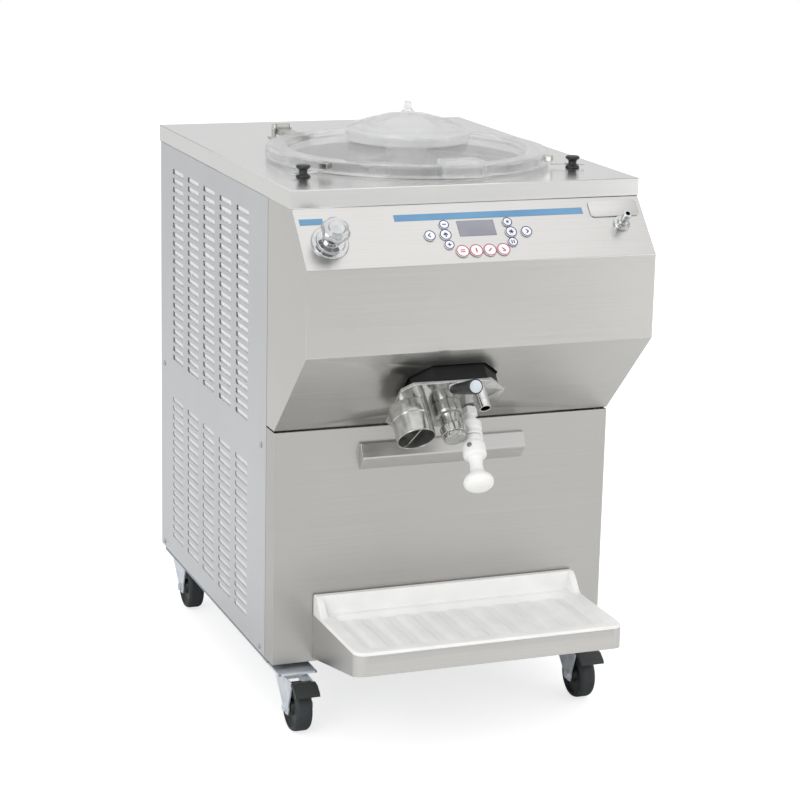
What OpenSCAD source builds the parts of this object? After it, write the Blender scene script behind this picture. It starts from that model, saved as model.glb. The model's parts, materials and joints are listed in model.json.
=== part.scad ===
// Free-standing frozen mix machine: an open-top heated and chilled tank with a stirrer, a tilted
// control panel, a draw-off tap, a bucket shelf and four swivel casters.
// The middle of the bounding box's base is the origin, +Z is up and the front faces -Y.

/* [Cabinet] */
// Width of the top deck
deck_w = 650; // [640:2:660]
// Depth of the top deck
deck_d = 850; // [840:2:860]
// Height of the deck's top above the floor
deck_z = 1000; // [998:1:1004]
// Height of the deck's folded edge
deck_edge = 32; // [28:1:34]
// Height of the cabinet panels' lower edge above the floor
skirt_z = 121; // [119:1:124]
// Thickness of the cabinet sheet
sheet = 1.5; // [1.2:0.1:1.8]
// Depth of the front cheeks, measured back from the deck's front edge
cheek_d = 130; // [128:1:132]

/* [Front] */
// Length of the tilted control panel down its slope
panel_len = 123; // [120:1:125]
// Tilt of the control panel back from upright, in degrees
panel_tilt = 47; // [46:0.5:48]
// Height of the nose's lower edge above the floor
nose_low_z = 727; // [724:1:730]
// Setback of the lower front panel behind the deck's front edge
toe_d = 84.5; // [83:0.5:86]

/* [Louvres] */
// Number of slot columns in a side panel
slot_cols = 5; // [3:1:5]
// Number of slots in a column of the upper group
slot_rows_upper = 22; // [16:1:22]
// Number of slots in a column of the lower group
slot_rows_lower = 17; // [12:1:17]
// Length of a slot
slot_len = 78; // [60:1:84]
// Height of a slot
slot_h = 10; // [7:0.5:11]
// Distance between slots in a column
slot_pitch_z = 18; // [16:0.5:18.5]
// Distance between columns
slot_pitch_y = 109; // [100:1:112]

/* [Tank and lid] */
// Distance of the tank's centre behind the deck's front edge
tank_y = 306; // [304:1:308]
// Inner radius of the tank
tank_r = 217.5; // [214:0.5:218]
// Height of the tank's floor above the ground
tank_floor_z = 660; // [656:1:664]
// Outer radius of the lid's rim ring
ring_r = 261.5; // [259:0.5:263]
// Height of the lid's rim ring
ring_h = 21.6; // [20:0.2:22]
// Outer radius of the filling-port cover
cover_r = 115; // [112:1:117]
// Radius of the stirrer's central column
column_r = 38; // [34:1:40]

/* [Casters] */
// Diameter of a caster wheel
wheel_d = 90; // [88:1:91]
// Width of a caster wheel
wheel_w = 34; // [30:1:34]
// Distance from a caster's swivel axis to its wheel's axle
caster_trail = 34; // [30:1:36]
// Sideways distance of the wheels from the middle
wheel_x = 280.5; // [276:0.5:281]

/* [Bucket shelf] */
// Width of the bucket shelf
shelf_w = 510; // [480:2:516]
// Sideways offset of the bucket shelf
shelf_x = 8; // [0:1:8]
// Distance that the shelf stands out in front of the deck's front edge
shelf_out = 150; // [140:1:156]
// Radius of the shelf's and the tray's front corners
shelf_corner = 20; // [12:1:26]

/* [Hidden] */
$fn = 64;

steel = [0.74, 0.74, 0.73];
bright = [0.86, 0.86, 0.87];
white = [0.95, 0.95, 0.95];
black = [0.15, 0.16, 0.16];
clear = [0.85, 0.9, 0.92, 0.5];
zinc = [0.8, 0.84, 0.88];
eps = 0.5;

// Reach of the tap in front of the deck, and the deck's front edge in the part's frame
front_reach = 162.8;
front_y = -(deck_d - front_reach) / 2;
body_w = deck_w - 3;
body_back = deck_d - 4;
body_top = deck_z - deck_edge;
nose_out = panel_len * cos(panel_tilt);
nose_drop = panel_len * sin(panel_tilt);
under_len = (nose_out + toe_d) * sqrt(2);
under_low_z = nose_low_z - nose_out - toe_d;
seam = 3.5;
shelf_top = 211;

// Frame members
tube = 30;
rail_h = 40;
rail_z = skirt_z - 12;
pan_z = rail_z + rail_h;
post_x = body_w / 2 - sheet - 4 - tube;
mid_z = 490;
rear_y = 815;

// Cooling: the fan's axis, and the condenser right behind the left louvres
fan_z = 320;
fan_y = 505;
core_x = -(body_w / 2 - sheet - 4);

// Where the slots start, from the deck's front edge and the floor
slot_y = 243;
slot_upper_z = 537;
slot_lower_z = 161;

// Tap, in the undercut's own frame: x, distance down the slope, distance out of the slope
tap_x = -39;
tap_t = 131;
spout_x = -110;
spout_r = 34.5;
plunger_x = 9.7;
plunger_t = 148;
plunger_lean = 8;
stem_r = 8;
barrel_h = 62;
plate_edge = [[-120, 55], [-139, 74], [-139, 177], [-112, 208], [0, 208], [61, 145], [61, 90], [25, 55]];
neck_s = -34;
outlet_s = -125;
plate_s = 26;
plate_t = 6;
lever_x = -47;
lever_t = 64;
lever_lean = 61.5;
lever_end_r = 13.8;
pipe_r = 10.5;

// Lid
ring_z = deck_z + 3;
ring_in = tank_r + 1.5;
ring_top = ring_z + ring_h;
neck_r = 103;
cover_z = 1036.5;
cover_rim_z = 1056;
cover_rise = 30;
dome_r = (pow(cover_r, 2) + pow(cover_rise, 2)) / (2 * cover_rise);
dome_z = cover_rim_z + cover_rise - dome_r;
hinge_y = 610;
hinge_z = 1020;
hinge_x = 145;
pin_r = 4;
run_gap = 0.06;
shaft_r = 15;
weld_gap = 0.3;
clamp_x = 258;
clamp_y = 137;

// Keys on the control panel: x, distance down the slope, radius
key_row_pitch = 25.3;
KEYS = concat(
    [for (side = [-1, 1], small = [44.5, 85.5]) [side * 59, small, 9.2]],
    [for (side = [-1, 1]) [side * 61, 65, 10.8]],
    [for (side = [-1, 1]) [side * 90, 65.5, 10.5]],
    [for (i = [0:3]) [(i - 1.5) * key_row_pitch, 99.5, 12.2]]);
// Display window: width, height and distance down the slope
screen = [68.2, 31.2];
screen_s = 53;
screen_gap = 0.4;
key_h = 2;
key_gap = 1;
stem_hole_r = 2.4;
valve_x = -271;
valve_s = 70;
spigot_x = 275;
spigot_s = 58;

// Casters
wheel_r = wheel_d / 2;
axle_r = 5;
front_wheel_y = 66;
rear_wheel_y = 772;
fork_top = rail_z - 9;
pad = 36;
pedal_y = -22;
pedal_z = fork_top - 4;

function unit(v) = v / norm(v);
function left_of(a, b) = let (d = unit(b - a)) [-d[1], d[0]];
function inset_corner(a, b, c, d) =
    let (n = left_of(a, b), m = left_of(b, c)) b + d * (n + m) / (1 + n * m);
// The same closed outline, d further in, for points that run anticlockwise
function inset(p, d) =
    [for (i = [0:len(p) - 1]) inset_corner(p[(i + len(p) - 1) % len(p)], p[i], p[(i + 1) % len(p)], d)];
// A slot's outline with chamfered ends
function slot_outline(y, z) = let (c = slot_h * 0.3)
    [[y + c, z], [y + slot_len - c, z], [y + slot_len, z + c], [y + slot_len, z + slot_h - c],
     [y + slot_len - c, z + slot_h], [y + c, z + slot_h], [y, z + slot_h - c], [y, z + c]];
function flatten(lists) = [for (l = lists) for (e = l) e];
// A rectangle w by h with its corners cut off
function cut_corner_rect(w, h, c) =
    [[-w / 2 + c, -h / 2], [w / 2 - c, -h / 2], [w / 2, -h / 2 + c], [w / 2, h / 2 - c],
     [w / 2 - c, h / 2], [-w / 2 + c, h / 2], [-w / 2, h / 2 - c], [-w / 2, -h / 2 + c]];

// Places things measured from the deck's front edge
module placed() translate([0, front_y, 0]) children();
// The control panel's frame: x, up the slope, out of the panel
module on_panel(x = 0, s = 0, h = 0)
    translate([0, front_y, body_top]) rotate([panel_tilt, 0, 0]) translate([x, -s, h]) children();
// The undercut's frame: x, up the slope, out of the undercut
module on_undercut(x = 0, t = 0, s = 0)
    translate([0, front_y - nose_out, nose_low_z]) rotate([135, 0, 0]) translate([x, -t, s]) children();
// Runs an outline in the Y-Z plane along X
module across(w) rotate([90, 0, 90]) linear_extrude(w, center = true) children();
module tube_x(r, l) rotate([0, 90, 0]) cylinder(r = r, h = l, center = true);
module block(lo, hi) translate(lo) cube(hi - lo);
module mirror_pair() { children(); mirror([1, 0, 0]) children(); }

module base_frame() color([0.42, 0.46, 0.52]) placed() {
    mirror_pair() {
        block([post_x - 6, cheek_d, rail_z], [post_x + tube, body_back - 8, pan_z]);
        block([post_x, cheek_d, pan_z - eps], [post_x + tube, cheek_d + tube, body_top - 4]);
        block([post_x, rear_y - tube - 4, pan_z - eps], [post_x + tube, rear_y - 4, body_top - 4]);
        block([post_x, cheek_d + tube - eps, mid_z], [post_x + tube, rear_y - tube - 3, mid_z + rail_h]);
        block([post_x, cheek_d + tube - eps, body_top - 4 - tube], [post_x + tube, rear_y - tube - 3, body_top - 4]);
    }
    for (y = [cheek_d, 430, body_back - 8 - tube])
        block([-post_x, y, rail_z], [post_x, y + tube, pan_z]);
    for (y = [195, 392])
        block([-post_x - 1, y, mid_z], [post_x + 1, y + 25, mid_z + rail_h]);
    block([-post_x - 1, rear_y - tube - 4, body_top - 4 - tube], [post_x + 1, rear_y - 4, body_top - 4]);
    block([-post_x, cheek_d + eps, pan_z - 2], [post_x, body_back - 9, pan_z]);
    // Caster pads; the front ones reach back to the first cross rail
    for (x = [-1, 1], end = [[front_wheel_y, cheek_d + tube - eps], [rear_wheel_y, rear_wheel_y + caster_trail + pad]])
        difference() {
            block([x * wheel_x - pad, end[0] + caster_trail - pad, rail_z - 3], [x * wheel_x + pad, end[1], rail_z + eps]);
            translate([x * wheel_x, end[0] + caster_trail, rail_z - 4]) cylinder(r = 6 + run_gap, h = 6);
        }
}

module side_panel() {
    outline = [[cheek_d + 1, skirt_z], [body_back, skirt_z], [body_back, body_top - 1], [cheek_d + 1, body_top - 1]];
    slots = concat(
        [for (c = [0:slot_cols - 1], r = [0:slot_rows_upper - 1])
            slot_outline(slot_y + c * slot_pitch_y, slot_upper_z + r * slot_pitch_z)],
        [for (c = [0:slot_cols - 1], r = [0:slot_rows_lower - 1])
            slot_outline(slot_y + c * slot_pitch_y, slot_lower_z + r * slot_pitch_z)]);
    points = concat(outline, flatten(slots));
    paths = concat([[0, 1, 2, 3]], [for (i = [0:len(slots) - 1]) [for (k = [0:7]) 4 + 8 * i + k]]);
    placed() {
        translate([-body_w / 2 + sheet / 2, 0, 0])
            across(sheet) polygon(points, paths);
        block([-body_w / 2, body_back - sheet, skirt_z], [-body_w / 2 + 28, body_back, body_top - 1]);
    }
}
module left_side_panel() color(steel) side_panel();
module right_side_panel() color(steel) mirror([1, 0, 0]) side_panel();

module rear_panel() color(steel) placed() {
    half = body_w / 2 - sheet - 1;
    difference() {
        block([-half, rear_y, pan_z + 0.5], [half, rear_y + sheet, body_top - 2]);
        for (row = [0:13], col = [-1, 0, 1])
            translate([col * 150 - 50, rear_y - 1, 560 + row * 24]) cube([100, 4, 9]);
    }
    // Power cable gland, water inlet and water outlet
    translate([200, rear_y, 260]) rotate([-90, 0, 0]) difference() {
        union() {
            cylinder(r = 17, h = 10, $fn = 6);
            cylinder(r = 13, h = 26);
        }
        translate([0, 0, 2]) cylinder(r = 8, h = 30);
    }
    for (x = [-200, -130])
        translate([x, rear_y, 260]) rotate([-90, 0, 0]) difference() {
            union() {
                cylinder(r = 21, h = 8, $fn = 6);
                cylinder(r = 13.2, h = 28);
            }
            translate([0, 0, 2]) cylinder(r = 9.5, h = 30);
        }
}

module front_shell() color(steel) {
    slope = [nose_out, nose_drop] / panel_len;
    outer = [[0, body_top], [-nose_out, body_top - nose_drop], [-nose_out, nose_low_z],
             [toe_d, under_low_z], [cheek_d, under_low_z], [cheek_d, body_top]];
    open_back = [[20 * slope[0], body_top + 20 * slope[1]], outer[1], outer[2], outer[3],
                 [cheek_d + 20, under_low_z], [cheek_d + 20, body_top + 20 * slope[1]]];
    difference() {
        placed() difference() {
            across(body_w) polygon(outer);
            across(body_w - 2 * sheet) polygon(inset(open_back, sheet));
        }
        on_undercut(tap_x + 8, tap_t - 6, -6) linear_extrude(12)
            polygon(cut_corner_rect(168, 154, 34));
        on_panel(0, screen_s, 0) cube([screen[0] + 2 * screen_gap, screen[1] + 2 * screen_gap, 8], center = true);
        for (k = KEYS) on_panel(k[0], k[1], -4) cylinder(r = stem_hole_r, h = 8);
        on_panel(valve_x, valve_s, -4) cylinder(r = 12, h = 8);
        on_panel(spigot_x, spigot_s, -4) cylinder(r = 7, h = 8);
    }
}

module lower_front_panel() color(steel) placed() difference() {
    block([-body_w / 2, toe_d, skirt_z], [body_w / 2, cheek_d, under_low_z - seam]);
    block([-body_w / 2 + sheet, toe_d + sheet, skirt_z - 1], [body_w / 2 - sheet, cheek_d + 1, under_low_z]);
}

module bucket_rail() color(bright) placed() {
    rail = [[toe_d, 477], [toe_d - 1.5, 477], [toe_d - 18, 500], [toe_d - 18, 503], [toe_d - 7, 526], [toe_d, 526]];
    translate([-5, 0, 0]) difference() {
        across(316) polygon(rail);
        for (side = [-1, 1])
            translate([side * 158, toe_d - 40, 465]) rotate([0, side * 22, 0])
                translate([side > 0 ? 0 : -30, 0, -20]) cube([30, 39, 50]);
    }
}

module top_deck() color(bright) placed() difference() {
    block([-deck_w / 2, 0, body_top], [deck_w / 2, deck_d, deck_z]);
    block([-deck_w / 2 + 2, 2, body_top - 1], [deck_w / 2 - 2, deck_d - 2, deck_z - 2]);
    translate([0, tank_y, deck_z - 10]) cylinder(r = tank_r + 3, h = 20, $fn = 96);
    for (side = [-1, 1])
        translate([side * clamp_x, clamp_y, deck_z - 10]) cylinder(r = 4, h = 20);
}

module tank_bowl() color(bright) {
    shaft_bore = shaft_r + run_gap;
    flange = [deck_z + 0.3, deck_z + 2.3];
    difference() {
        union() {
            placed() translate([0, tank_y, 0]) rotate_extrude($fn = 96) {
                // Floor plate with the shaft's sleeve, a weld's width inside the wall
                polygon([
                    [shaft_bore, tank_floor_z - 30], [34, tank_floor_z - 30], [34, tank_floor_z - 3],
                    [tank_r - weld_gap, tank_floor_z - 3], [tank_r - weld_gap, tank_floor_z],
                    [shaft_bore, tank_floor_z]]);
                polygon([
                    [tank_r, tank_floor_z - 3], [tank_r + 2, tank_floor_z - 3], [tank_r + 2, flange[0]],
                    [tank_r + 28, flange[0]], [tank_r + 28, flange[1]], [tank_r, flange[1]]]);
            }
            difference() {
                on_undercut(tap_x, tap_t, outlet_s) cylinder(r = 36, h = -outlet_s + neck_s - 0.1);
                placed() translate([0, tank_y, tank_floor_z - 30]) cylinder(r = tank_r, h = 200);
            }
        }
        on_undercut(tap_x, tap_t, outlet_s - 20) cylinder(r = 32, h = 160);
    }
}

module tank_insulation() color(white) placed() {
    lo = mid_z + rail_h + 0.5;
    hi = body_top - tube - 8.5;
    wall = 14;
    half = body_w / 2 - sheet - 2.5;
    difference() {
        block([-half, cheek_d + tube + 4, lo], [half, rear_y - tube - 8, hi]);
        block([-half + wall, cheek_d, lo + wall], [half - wall, rear_y - tube - 8 - wall, hi + 1]);
        translate([0, tank_y, lo - 1]) cylinder(r = 60, h = wall + 2);
    }
}

module stirrer() color(bright) placed() translate([0, tank_y, 0]) {
    column_h = deck_z + 5 - tank_floor_z - 4;
    translate([0, 0, mid_z + 8]) cylinder(r = shaft_r, h = tank_floor_z - mid_z + 12);
    translate([0, 0, mid_z + 8]) cylinder(r = 26, h = 60);
    difference() {
        translate([0, 0, tank_floor_z + 4]) cylinder(r = column_r, h = column_h);
        translate([0, 0, tank_floor_z + 24]) cylinder(r = column_r - 4, h = column_h - 26);
    }
    for (a = [90, 210, 330]) rotate([0, 0, a]) {
        for (z = [tank_floor_z + 12, tank_floor_z + 270])
            translate([column_r - 6, -6, z]) cube([tank_r - column_r - 8, 12, 12]);
        translate([tank_r - 24, -4, tank_floor_z + 5]) cube([20, 8, 300]);
    }
}

module gear_motor() color([0.35, 0.42, 0.5]) placed() translate([0, tank_y, 0]) {
    translate([-90, -112, mid_z - 10]) cube([180, 224, 9.5]);
    translate([-75, -75, mid_z - 120]) cube([150, 150, 110.5]);
    translate([0, 0, pan_z + 25]) cylinder(r = 68, h = mid_z - 145 - pan_z + 0.5);
    for (a = [0:30:359]) rotate([0, 0, a])
        translate([66, -1.5, pan_z + 50]) cube([8, 3, mid_z - 175 - pan_z]);
    translate([0, 0, pan_z + 10]) cylinder(r = 60, h = 16);
    translate([60, -30, pan_z + 90]) cube([34, 60, 70]);
}

module condenser() color([0.72, 0.74, 0.76]) placed() {
    difference() {
        union() {
            block([core_x, 235, pan_z + 12], [core_x + 36, 775, mid_z - 6]);
            block([core_x + 36 - eps, 255, pan_z + 12], [core_x + 40, 755, mid_z - 6]);
        }
        translate([core_x + 50, fan_y, fan_z]) tube_x(148, 30);
        for (i = [0:43])
            block([core_x - 1, 247 + i * 12, pan_z + 22], [core_x + 28, 255 + i * 12, mid_z - 16]);
    }
    for (y = [250, 758])
        block([core_x, y, pan_z], [core_x + 36, y + 4, pan_z + 12 + eps]);
    // Motor, carried by a bar across the opening
    translate([core_x + 118, fan_y, fan_z]) tube_x(38, 62);
    translate([core_x + 74, fan_y, fan_z]) tube_x(5, 40);
    block([core_x + 112, fan_y - 170, fan_z - 8], [core_x + 118, fan_y + 170, fan_z + 8]);
    for (side = [-1, 1])
        block([core_x + 36, fan_y + side * 166 - 4, fan_z - 8], [core_x + 118, fan_y + side * 166 + 4, fan_z + 8]);
}

module fan() color(black) placed() translate([core_x + 70, fan_y, fan_z]) difference() {
    union() {
        tube_x(26, 22);
        for (a = [0:72:359]) rotate([a, 0, 0])
            translate([0, 0, 80]) rotate([0, 0, 28]) cube([3, 46, 122], center = true);
    }
    tube_x(5 + run_gap, 30);
}

module compressor() color([0.14, 0.15, 0.17]) placed() translate([160, 650, pan_z]) {
    for (x = [-70, 70], y = [-50, 50]) translate([x, y, 0]) cylinder(r = 14, h = 16);
    translate([-90, -70, 15.5]) cube([180, 140, 5]);
    translate([0, 0, 20]) rotate_extrude() polygon(concat(
        [[0, 0], [76, 0]], [for (a = [0:10:90]) [76 * cos(a), 210 + 70 * sin(a)]]));
    translate([70, -22, 120]) cube([36, 44, 60]);
}

module electrical_box() color([0.6, 0.62, 0.64]) placed() {
    difference() {
        block([-150, -66, 752], [265, 66, 852]);
        block([-148, -64, 754], [263, 64, 853]);
    }
    for (x = [-130, 235]) block([x, -nose_out + sheet + 0.1, 770], [x + 14, -65.5, 835]);
}

module fascia_trim() color([0.43, 0.63, 0.78]) {
    on_panel(-295, 27, 0.02) translate([-21, -6, 0]) cube([42, 12, 0.5]);
    on_panel(31, 26.5, 0.02) translate([-177, -6.5, 0]) cube([354, 13, 0.5]);
    color(bright) on_panel(268, 25, 0.02) linear_extrude(3) difference() {
        polygon(cut_corner_rect(94, 34, 12));
        translate([spigot_x - 268, -(spigot_s - 25)]) circle(r = 17);
    }
}

// Window with a wider flange that holds it behind the sheet
module display_window() color([0.62, 0.64, 0.66]) on_panel(0, screen_s, 0) {
    translate([0, 0, -1.4]) cube([screen[0], screen[1], 3.6], center = true);
    translate([0, 0, -2.5]) cube([screen[0] + 8, screen[1] + 8, 1.6], center = true);
}

module key(i) color(white) on_panel(KEYS[i][0], KEYS[i][1], key_gap) {
    cylinder(r = KEYS[i][2], h = key_h);
    translate([0, 0, -key_gap - 7]) cylinder(r = stem_hole_r - 0.4, h = key_gap + 7 + eps);
}

module valve_flange() color(bright) on_panel(valve_x, valve_s, 0.05) difference() {
    union() {
        cylinder(r = 33, h = 4);
        cylinder(r = 25, h = 8);
        cylinder(r = 15, h = 18);
        translate([0, 0, -24]) cylinder(r = 11, h = 25);
    }
    translate([0, 0, -2]) cylinder(r = 7 + run_gap, h = 40);
}
module valve_knob() color(bright) on_panel(valve_x, valve_s, 0) {
    cylinder(r = 7, h = 30);
    translate([0, 0, 19]) cylinder(r = 13, h = 14);
    translate([0, 0, 32]) rotate_extrude() polygon(
        [[0, 0], [15, 0], [24, 4], [26, 9], [25, 13], [18.5, 18], [9, 20.5], [0, 21]]);
}
module hose_spigot() color(bright) on_panel(spigot_x, spigot_s, 0.05) difference() {
    union() {
        translate([0, 0, -14]) cylinder(r = 6.5, h = 15);
        cylinder(r = 15, h = 5);
        cylinder(r = 10, h = 14);
        cylinder(r = 6.5, h = 34);
        translate([0, 0, 28]) cylinder(r = 8, h = 6);
    }
    translate([0, 0, -20]) cylinder(r = 4, h = 60);
}

module tap_neck() color(black) on_undercut(tap_x + 8, tap_t - 6, neck_s) difference() {
    linear_extrude(plate_s - neck_s - 0.1) polygon(cut_corner_rect(160, 146, 32));
    translate([-8, -6, -1]) cylinder(r = 30, h = 100);
}
module tap_plate() color(bright) {
    on_undercut(0, 0, plate_s) difference() {
        linear_extrude(plate_t) polygon([for (p = plate_edge) [p[0], -p[1]]]);
        translate([spout_x + 3, -tap_t, -1]) cylinder(r = spout_r - 8, h = 20);
        translate([plunger_x, -plunger_t, -1]) cylinder(r = stem_r + 3, h = 20);
        translate([lever_x, -lever_t, -1]) cylinder(r = 5 + run_gap, h = 20);
    }
    // Rinse pipe, which also stops the lever
    on_undercut(8, 78, plate_s + plate_t - eps) difference() {
        cylinder(r = pipe_r, h = 44);
        translate([0, 0, 6]) cylinder(r = pipe_r - 2, h = 50);
    }
}
module spout() color(bright) on_undercut(spout_x, tap_t, plate_s + plate_t + 0.02) {
    difference() {
        union() {
            cylinder(r = spout_r + 1, h = 26);
            cylinder(r = spout_r, h = 64);
        }
        translate([0, 0, -1]) cylinder(r = spout_r - 2, h = 90);
    }
    translate([0, 0, 57]) rotate([0, 0, -12]) cube([2, 2 * spout_r - 2, 3], center = true);
}
module tap_cylinder() color(bright) on_undercut(tap_x, tap_t, plate_s + plate_t + 0.02) {
    translate([-3, 0, 0]) cylinder(r = 26, h = 24);
    cylinder(r = 18, h = barrel_h);
    // Castellated ring nut
    difference() {
        translate([0, 0, barrel_h - 17]) cylinder(r = 22.5, h = 17);
        for (a = [0:45:359]) rotate([0, 0, a])
            translate([19.5, -3, barrel_h - 11]) cube([6, 6, 12]);
    }
}
module tap_cap() color(bright) on_undercut(tap_x, tap_t, plate_s + plate_t + barrel_h + 0.1) {
    difference() {
        cylinder(r = 20.5, h = 9);
        for (a = [0:20:359]) rotate([0, 0, a])
            translate([20.8, 0, -1]) cylinder(r = 2, h = 5);
    }
}
// The plunger's leaning axis, from the plate's face
module on_plunger()
    on_undercut(plunger_x, plunger_t, plate_s + plate_t) rotate([0, -plunger_lean, 0]) children();
module plunger_guide() color(white) on_plunger() {
    difference() {
        union() {
            translate([0, 0, 2.5]) cylinder(r = 15, h = 14, $fn = 6);
            translate([0, 0, 2.5]) cylinder(r = 10.5, h = 34);
            translate([0, 0, 30]) cylinder(r = 18.5, h = 30);
        }
        translate([0, 0, -1]) cylinder(r = stem_r + run_gap, h = 80);
    }
}
module plunger() color(white) on_plunger() {
    translate([0, 0, -2]) cylinder(r = stem_r, h = 75);
    translate([0, 0, 61]) rotate_extrude() polygon(
        [[0, 0], [18, 0], [18.5, 22], [12, 34], [11, 62], [15, 74], [25, 82], [27, 90], [24, 98], [14, 103], [0, 104]]);
}
module tap_lever() color(black) on_undercut(lever_x, lever_t, plate_s + plate_t) {
    translate([0, 0, -5.8]) cylinder(r = 5, h = 12);
    translate([0, 0, 0.4]) cylinder(r = 9, h = 9);
    translate([0, 0, 8.8]) rotate([-lever_lean, 0, 0]) cylinder(r1 = 8.4, r2 = lever_end_r, h = 104);
}

// The shelf's plan, its outline brought in by gap, with rounded front corners
module shelf_plan(gap, back) {
    half = shelf_w / 2;
    translate([-half + gap, -shelf_out + shelf_corner]) square([shelf_w - 2 * gap, back + shelf_out - shelf_corner]);
    translate([-half + shelf_corner, -shelf_out + gap]) square([shelf_w - 2 * shelf_corner, back + shelf_out - gap]);
    for (side = [-1, 1])
        translate([side * (half - shelf_corner), -shelf_out + shelf_corner]) circle(r = shelf_corner - gap);
}
module slab(lo, hi) translate([0, 0, lo]) linear_extrude(hi - lo) children();
module bucket_shelf() color(steel) placed() translate([shelf_x, 0, 0]) {
    back = toe_d - 0.3;
    plate = [195.5, 197];
    difference() {
        intersection() {
            across(shelf_w + 2) polygon([[back, 127], [back, shelf_top], [-shelf_out - 1, shelf_top], [-shelf_out - 1, 174]]);
            slab(120, shelf_top) shelf_plan(0, back);
        }
        slab(100, plate[0]) shelf_plan(sheet, toe_d + 1);
        slab(plate[1], shelf_top + 10) shelf_plan(sheet, toe_d - 2);
    }
}
module tray_insert() color(white) placed() translate([shelf_x, 0, 0]) {
    half = shelf_w / 2;
    back = toe_d - 2.6;
    rim = [shelf_top + 0.2, 217];
    upstand = 250;
    floor_z = 205;
    difference() {
        union() {
            slab(197.3, rim[0] + eps) shelf_plan(2, back);
            slab(rim[0], rim[1]) shelf_plan(0, back);
            block([-half, back - 14, rim[1] - eps], [half, back, upstand]);
            for (side = [-1, 1])
                translate([side * (half - 7), 0, 0]) across(14)
                    polygon([[back, rim[1] - eps], [back, upstand], [back - 16, upstand - 2], [back - 52, rim[1]],
                             [back - 52, rim[1] - eps]]);
        }
        block([-half + 26, -shelf_out + 22, floor_z], [half - 26, back - 26, upstand + 10]);
    }
    for (i = [0:8])
        translate([(i - 4) * 48, 0, 0]) block([-9, -shelf_out + 34, floor_z - eps], [9, back - 38, floor_z + 5]);
}

module panel_screws() color(bright) placed() {
    for (side = [-1, 1], yz = [[162, 514], [162, 131], [822, 131], [822, 514]])
        translate([side * (body_w / 2 + 1), yz[0], yz[1]]) difference() {
            tube_x(5, 1.9);
            rotate([45, 0, 0]) translate([side * 1, 0, 0]) cube([1, 1.2, 7], center = true);
        }
}

module lid_hinge() color(bright) placed() for (side = [-1, 1]) translate([side * hinge_x, hinge_y, 0]) {
    translate([-22, -16, deck_z + 0.05]) cube([44, 36, 3]);
    for (ear = [-1, 1]) translate([ear * 16 - 2, 0, 0]) {
        translate([0, -9, deck_z + 2]) cube([4, 18, hinge_z - deck_z - 2]);
        translate([2, 0, hinge_z]) tube_x(9, 4);
    }
    translate([0, 0, hinge_z]) tube_x(pin_r, 38);
}
module lid_ring() color(clear) placed() {
    difference() {
        union() {
            translate([0, tank_y, ring_z]) rotate_extrude($fn = 96) polygon(
                [[ring_in, 0], [ring_r - 2, 0], [ring_r, 3], [ring_r, ring_h - 4], [ring_r - 5, ring_h],
                 [ring_in + 4, ring_h], [ring_in, ring_h - 4]]);
            for (side = [-1, 1]) {
                block([side * hinge_x - 13, 505, ring_z + 6], [side * hinge_x + 13, hinge_y, ring_z + 18]);
                translate([side * hinge_x, hinge_y, hinge_z]) tube_x(9, 26);
                // Catch block that the clamp rod turns under
                translate([side * 213, 148, 0]) rotate([0, 0, -side * 36.6])
                    block([-9, -9, ring_z + 9], [9, 9, ring_z + 19]);
            }
            // Clear grip block on the front of the rim
            block([-29, 36, ring_z + 1], [44, 60, ring_top + 9]);
            block([-29, 60 - eps, ring_top - eps], [44, 84, ring_top + 9]);
        }
        for (side = [-1, 1]) translate([side * hinge_x, hinge_y, hinge_z]) tube_x(pin_r + run_gap, 60);
    }
}
module lid_cone() color(clear) placed() translate([0, tank_y, 0]) rotate_extrude($fn = 96) polygon(
    [[ring_in - 0.05, 1014], [ring_in - 0.05, 1018], [neck_r, 1035], [neck_r, 1046], [neck_r - 3, 1046], [neck_r - 3, 1031.5]]);
module port_cover() color(clear) placed() translate([0, tank_y, 0]) {
    rotate_extrude($fn = 96) {
        intersection() {
            difference() {
                translate([0, dome_z]) circle(r = dome_r, $fn = 180);
                translate([0, dome_z]) circle(r = dome_r - 3, $fn = 180);
            }
            translate([0, cover_rim_z - 6]) square([cover_r, cover_rise + 10]);
        }
        translate([cover_r - 3, cover_z]) square([3, cover_rim_z - cover_z]);
        translate([neck_r - 4, 1046.3]) square([5, 15]);
    }
    translate([0, 0, cover_rim_z + cover_rise - 2]) cylinder(r1 = 13, r2 = 9, h = 6);
    translate([0, 0, cover_rim_z + cover_rise + 3]) rotate_extrude() polygon(
        [[0, 0], [9, 0], [6.5, 6], [7.5, 12], [5.5, 17], [0, 19]]);
}
module clamp() placed() translate([clamp_x, clamp_y, 0]) {
    translate([0, 0, deck_z - 14]) cylinder(r = 4 - run_gap, h = 20);
    translate([0, 0, deck_z + 0.3]) rotate_extrude() polygon(
        [[0, 0], [13, 0], [12, 3], [7.5, 7], [7.5, 12], [13, 17], [13, 20], [10, 22], [0, 22]]);
    translate([0, 0, deck_z + 6]) rotate([0, 90, 166.3]) cylinder(r = 1.6, h = 40);
    translate([0, 0, deck_z + 6]) rotate([0, 90, -13.7]) cylinder(r = 1.6, h = 22);
}
module left_clamp() color(black) mirror([1, 0, 0]) clamp();
module right_clamp() color(black) clamp();

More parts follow.
